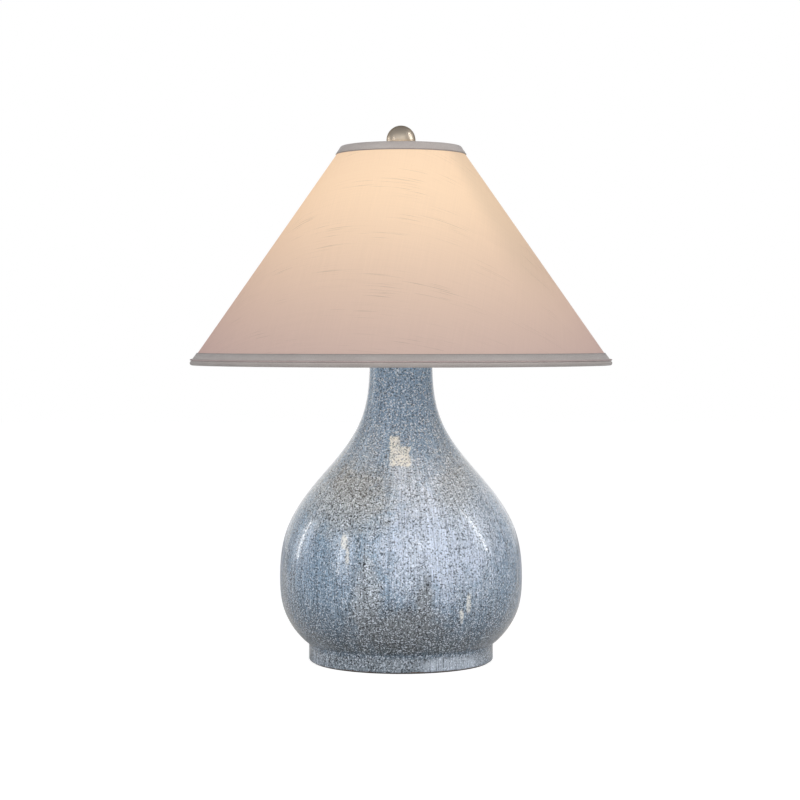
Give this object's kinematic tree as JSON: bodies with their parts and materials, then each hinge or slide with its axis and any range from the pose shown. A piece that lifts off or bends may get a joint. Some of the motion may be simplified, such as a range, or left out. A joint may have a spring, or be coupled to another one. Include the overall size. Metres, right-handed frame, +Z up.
{
  "type": "table lamp",
  "caption": "Table lamp with a pear-shaped glazed ceramic body, a wide cone fabric shade on a harp, a screw bulb, a turn switch and a ball finial.",
  "frame": {"origin": "on the table, under the middle of the foot", "axes": "+Z up through the foot, the neck and the finial; the front of the lamp with the switch faces -Y and the harp stands in the XZ plane"},
  "size_m": [0.4952, 0.4952, 0.6287],
  "materials": {
    "glaze": "glossy reactive glaze, blue-grey with cream and brown speckle and runs",
    "felt": "matt felt",
    "black_rubber": "matt",
    "zinc_steel": "zinc plated",
    "brushed_nickel": "brushed nickel plate",
    "raw_brass": "plain brass",
    "fibre_board": "black insulating fibre",
    "black_moulding": "moulded, matt",
    "black_knob": "moulded, gloss",
    "bulb_metal": "pressed aluminium",
    "bulb_plastic": "white, satin",
    "bulb_frost": "frosted, lit warm white",
    "shade_cloth": "slubbed cloth, lit from inside",
    "shade_lining": "white styrene, lit from inside",
    "ring_wire": "pale enamel",
    "trim_cloth": "woven tape",
    "piping_cloth": "woven cord"
  },
  "bodies": {
    "base": {"felt_foot_ring": "felt", "ceramic_body": "glaze", "cord_bushing": "black_rubber", "rubber_gasket": "black_rubber", "bottom_washer": "zinc_steel", "lock_washer": "zinc_steel", "bottom_nut": "zinc_steel", "threaded_rod": "zinc_steel", "neck_cap": "brushed_nickel", "neck_spindle": "brushed_nickel", "harp_saddle": "brushed_nickel", "socket_cap": "brushed_nickel", "set_screw": "zinc_steel", "socket_shell": "brushed_nickel", "socket_sleeve": "fibre_board", "socket_core": "black_moulding", "terminal_screws": "raw_brass", "socket_thread": "raw_brass", "centre_contact": "raw_brass"},
    "switch": {"switch_shaft": "raw_brass", "switch_knob": "black_knob"},
    "bulb_screw": {"bulb_contact": "raw_brass", "bulb_insulator": "black_moulding", "bulb_screw_base": "bulb_metal"},
    "bulb_globe_body": {"bulb_housing": "bulb_plastic", "bulb_board": "bulb_metal", "bulb_globe": "bulb_frost"},
    "harp": {"harp_wire": "brushed_nickel"},
    "ferrule_right_body": {"ferrule_right": "brushed_nickel"},
    "ferrule_left_body": {"ferrule_left": "brushed_nickel"},
    "swivel": {"harp_swivel": "brushed_nickel"},
    "shade": {"shade_cover": "shade_cloth", "shade_liner": "shade_lining", "shade_seam": "shade_cloth", "shade_bottom_ring": "ring_wire", "shade_top_ring": "ring_wire", "shade_bottom_trim": "trim_cloth", "shade_top_trim": "trim_cloth", "shade_bottom_piping": "piping_cloth", "spider_hub": "ring_wire", "spider_arms": "ring_wire"},
    "finial_thread": {"finial_insert": "raw_brass"},
    "finial": {"finial_ball": "brushed_nickel"}
  },
  "joints": [
    {"name": "switch_turn", "type": "hinge", "parent": "base", "child": "switch", "pos_m": [0, -0.029, 0.4057], "axis": [0, -1, 0], "continuous": true},
    {"name": "bulb_rise", "type": "slide", "parent": "base", "child": "bulb_screw", "axis": [0, 0, 1], "range_m": [0, 0.01816]},
    {"name": "bulb_turn", "type": "hinge", "parent": "bulb_screw", "child": "bulb_globe_body", "pos_m": [0, 0, 0.45], "axis": [0, 0, 1], "range_deg": [0, 1800]},
    {"name": "harp_lift", "type": "slide", "parent": "base", "child": "harp", "axis": [0, 0, 1], "range_m": [0, 0.04]},
    {"name": "ferrule_right_slide", "type": "slide", "parent": "harp", "child": "ferrule_right_body", "axis": [0, 0, 1], "range_m": [0, 0.012]},
    {"name": "ferrule_left_slide", "type": "slide", "parent": "harp", "child": "ferrule_left_body", "axis": [0, 0, 1], "range_m": [0, 0.012]},
    {"name": "swivel_turn", "type": "hinge", "parent": "harp", "child": "swivel", "pos_m": [0, 0, 0.58], "axis": [0, 0, 1], "continuous": true},
    {"name": "shade_lift", "type": "slide", "parent": "swivel", "child": "shade", "axis": [0, 0, 1], "range_m": [0, 0.25]},
    {"name": "finial_rise", "type": "slide", "parent": "shade", "child": "finial_thread", "axis": [0, 0, 1], "range_m": [0, 0.00849]},
    {"name": "finial_turn", "type": "hinge", "parent": "finial_thread", "child": "finial", "pos_m": [0, 0, 0.61], "axis": [0, 0, 1], "range_deg": [0, 3240]}
  ],
  "couplings": [
    {"joint": "bulb_rise", "follows": "bulb_turn", "m_per_rad": 0.0005775},
    {"joint": "finial_rise", "follows": "finial_turn", "m_per_rad": 0.00014972}
  ]
}
